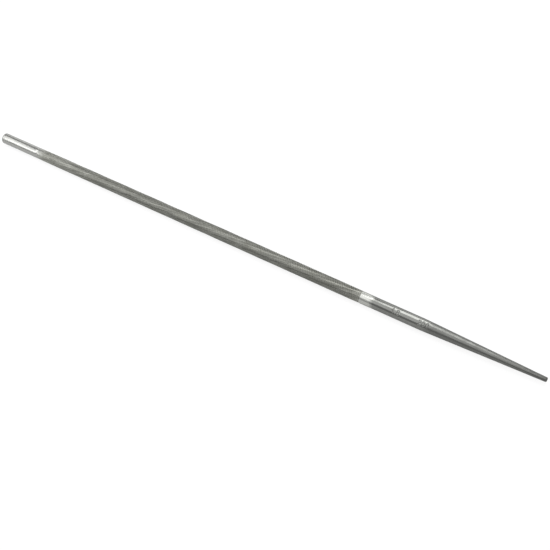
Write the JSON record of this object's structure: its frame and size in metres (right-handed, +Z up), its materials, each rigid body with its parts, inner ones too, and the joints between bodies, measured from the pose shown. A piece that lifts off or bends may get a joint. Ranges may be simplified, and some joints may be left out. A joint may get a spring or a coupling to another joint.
{
  "type": "chainsaw file",
  "caption": "Slim round file for sharpening saw chain: plain bevelled point, body cut with fine teeth in winding rows, smooth shank and tapered tang.",
  "frame": {"origin": "on the file's axis at the heel, where the plain shank ends and the tang begins", "axes": "+X along the file's axis from the point to the tip of the tang, +Z up with the file lying level"},
  "size_m": [0.245, 0.005, 0.005],
  "materials": {
    "file_steel": "bright plain point and band, satin grey teeth, darker shank and tang"
  },
  "bodies": {
    "root": {"round_file": "file_steel"}
  },
  "joints": []
}
